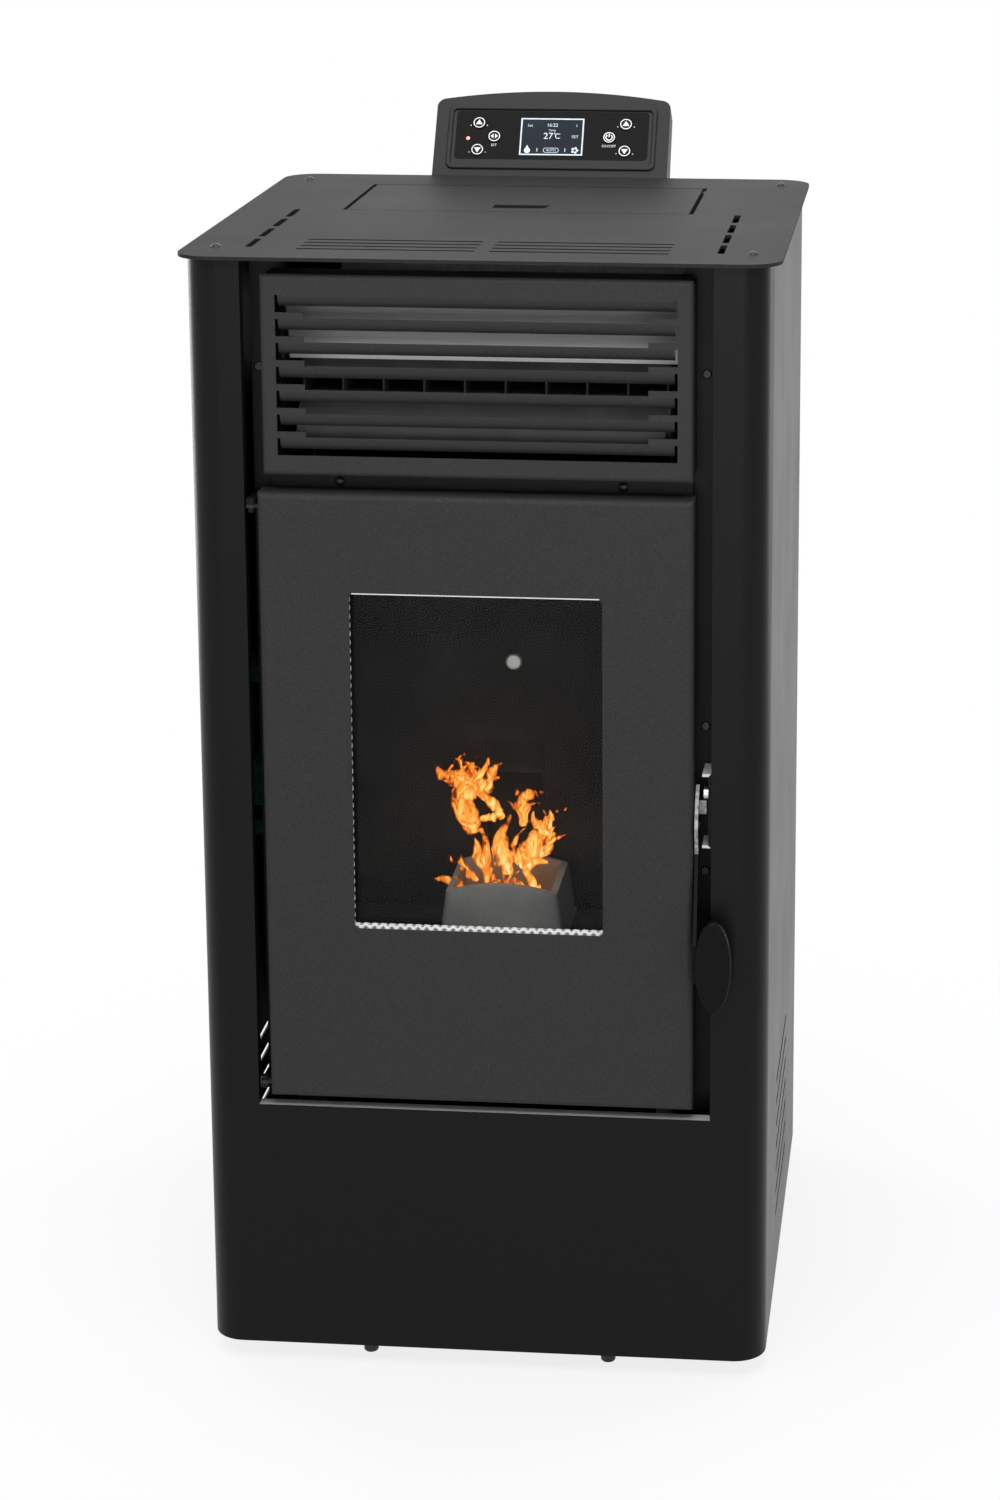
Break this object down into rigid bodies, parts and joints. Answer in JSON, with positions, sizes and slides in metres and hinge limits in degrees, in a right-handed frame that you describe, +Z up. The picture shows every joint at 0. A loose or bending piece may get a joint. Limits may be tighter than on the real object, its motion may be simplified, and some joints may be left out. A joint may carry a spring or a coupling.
{
  "type": "pellet stove",
  "caption": "Free-standing pellet stove: sheet-metal cabinet, louvred warm-air outlet, glazed hinged door over a firebox with burn pot, lidded hopper with auger feed, rear control panel.",
  "frame": {"origin": "on the floor under the middle of the stove's overall width and depth", "axes": "+Z up, -Y towards the user in front of the glass door, +X to the user's right"},
  "size_m": [0.5, 0.612, 1.0538],
  "materials": {
    "cabinet_paint": "fine matt powder coat",
    "top_paint": "fine matt powder coat",
    "door_paint": "rough heat-proof coat",
    "knob_metal": "satin black",
    "bare_steel": "galvanised or bare",
    "duct_steel": "heat-darkened",
    "firebox_steel": "sooty matt black",
    "cast_iron": "raw casting",
    "glass": "polished",
    "rope": "braided fibre",
    "screw_steel": "black zinc plated",
    "housing_plastic": "fine grain",
    "label_plastic": "smooth film",
    "key_plastic": "smooth",
    "screen": "dark liquid-crystal glass",
    "motor_paint": "satin",
    "circuit_board": "lacquered"
  },
  "bodies": {
    "stove": {"cabinet_shell": "cabinet_paint", "rear_panel": "cabinet_paint", "base_plate": "cabinet_paint", "cross_rail": "cabinet_paint", "catch_bracket": "cabinet_paint", "front_post_left": "cabinet_paint", "front_post_right": "cabinet_paint", "hinge_bracket_top": "cabinet_paint", "hinge_bracket_bottom": "cabinet_paint", "firebox_stand": "cabinet_paint", "top_plate": "top_paint", "air_outlet_grille": "top_paint", "upper_deflector": "bare_steel", "hopper": "bare_steel", "auger_tube": "bare_steel", "flue_collar": "bare_steel", "air_inlet_pipe": "bare_steel", "exhaust_manifold": "bare_steel", "convection_blower_housing": "bare_steel", "igniter": "bare_steel", "exhaust_blower_housing": "bare_steel", "air_duct": "duct_steel", "firebox": "firebox_steel", "fireback_plate": "firebox_steel", "burn_pot_holder": "firebox_steel", "drop_chute": "firebox_steel", "dome_screws": "screw_steel", "casing_screws": "screw_steel", "control_housing": "housing_plastic", "power_inlet": "housing_plastic", "control_label": "label_plastic", "lcd_screen": "screen", "auger_motor": "motor_paint", "exhaust_motor": "motor_paint", "convection_motor": "motor_paint", "control_board": "circuit_board"},
    "door": {"door_frame": "door_paint", "door_glass": "glass", "glass_gasket": "rope", "glass_clips": "bare_steel", "door_rope_seal": "rope"},
    "latch": {"door_lever": "door_paint", "door_knob": "knob_metal"},
    "roller": {"catch_roller": "bare_steel"},
    "lid": {"hopper_lid": "top_paint"},
    "drawer": {"ash_drawer": "bare_steel"},
    "pot": {"burn_pot": "cast_iron"},
    "auger": {"auger_screw": "bare_steel"},
    "impeller": {"exhaust_impeller": "bare_steel"},
    "drum": {"convection_drum": "bare_steel"},
    "left_up_key": {"key_left_up": "key_plastic"},
    "set_key": {"key_set": "key_plastic"},
    "left_down_key": {"key_left_down": "key_plastic"},
    "right_up_key": {"key_right_up": "key_plastic"},
    "power_key": {"key_power": "key_plastic"},
    "right_down_key": {"key_right_down": "key_plastic"},
    "front_left_foot": {"levelling_foot_front_left": "screw_steel"},
    "front_right_foot": {"levelling_foot_front_right": "screw_steel"},
    "rear_left_foot": {"levelling_foot_rear_left": "screw_steel"},
    "rear_right_foot": {"levelling_foot_rear_right": "screw_steel"}
  },
  "joints": [
    {"name": "door_hinge", "type": "hinge", "parent": "stove", "child": "door", "pos_m": [-0.1895, -0.278, 0.5], "axis": [0, 0, -1], "range_deg": [0, 110]},
    {"name": "latch_pivot", "type": "hinge", "parent": "door", "child": "latch", "pos_m": [0.1827, -0.272, 0.5], "axis": [-1, 0, 0], "range_deg": [0, 40]},
    {"name": "catch_roller_spin", "type": "hinge", "parent": "stove", "child": "roller", "pos_m": [0.19, -0.266, 0.526], "axis": [1, 0, 0], "continuous": true},
    {"name": "lid_hinge", "type": "hinge", "parent": "stove", "child": "lid", "pos_m": [0, 0.1425, 0.973], "axis": [-1, 0, 0], "range_deg": [0, 95]},
    {"name": "ash_drawer_slide", "type": "slide", "parent": "stove", "child": "drawer", "axis": [0, -1, 0], "range_m": [0, 0.035]},
    {"name": "burn_pot_lift", "type": "slide", "parent": "stove", "child": "pot", "axis": [0, 0, 1], "range_m": [0, 0.06]},
    {"name": "auger_spin", "type": "hinge", "parent": "stove", "child": "auger", "pos_m": [0, 0.123, 0.44], "axis": [0, -0.6428, 0.766], "continuous": true},
    {"name": "impeller_spin", "type": "hinge", "parent": "stove", "child": "impeller", "pos_m": [0.095, 0.092, 0.176], "axis": [1, 0, 0], "continuous": true},
    {"name": "drum_spin", "type": "hinge", "parent": "stove", "child": "drum", "pos_m": [-0.096, 0.11, 0.092], "axis": [1, 0, 0], "continuous": true},
    {"name": "left_up_key_press", "type": "slide", "parent": "stove", "child": "left_up_key", "axis": [0, 0.8192, -0.5736], "range_m": [0, 0.0006], "stiffness_N_per_m": 600},
    {"name": "set_key_press", "type": "slide", "parent": "stove", "child": "set_key", "axis": [0, 0.8192, -0.5736], "range_m": [0, 0.0006], "stiffness_N_per_m": 600},
    {"name": "left_down_key_press", "type": "slide", "parent": "stove", "child": "left_down_key", "axis": [0, 0.8192, -0.5736], "range_m": [0, 0.0006], "stiffness_N_per_m": 600},
    {"name": "right_up_key_press", "type": "slide", "parent": "stove", "child": "right_up_key", "axis": [0, 0.8192, -0.5736], "range_m": [0, 0.0006], "stiffness_N_per_m": 600},
    {"name": "power_key_press", "type": "slide", "parent": "stove", "child": "power_key", "axis": [0, 0.8192, -0.5736], "range_m": [0, 0.0006], "stiffness_N_per_m": 600},
    {"name": "right_down_key_press", "type": "slide", "parent": "stove", "child": "right_down_key", "axis": [0, 0.8192, -0.5736], "range_m": [0, 0.0006], "stiffness_N_per_m": 600},
    {"name": "front_left_foot_screw", "type": "slide", "parent": "stove", "child": "front_left_foot", "axis": [0, 0, -1], "range_m": [0, 0.012]},
    {"name": "front_right_foot_screw", "type": "slide", "parent": "stove", "child": "front_right_foot", "axis": [0, 0, -1], "range_m": [0, 0.012]},
    {"name": "rear_left_foot_screw", "type": "slide", "parent": "stove", "child": "rear_left_foot", "axis": [0, 0, -1], "range_m": [0, 0.012]},
    {"name": "rear_right_foot_screw", "type": "slide", "parent": "stove", "child": "rear_right_foot", "axis": [0, 0, -1], "range_m": [0, 0.012]}
  ]
}
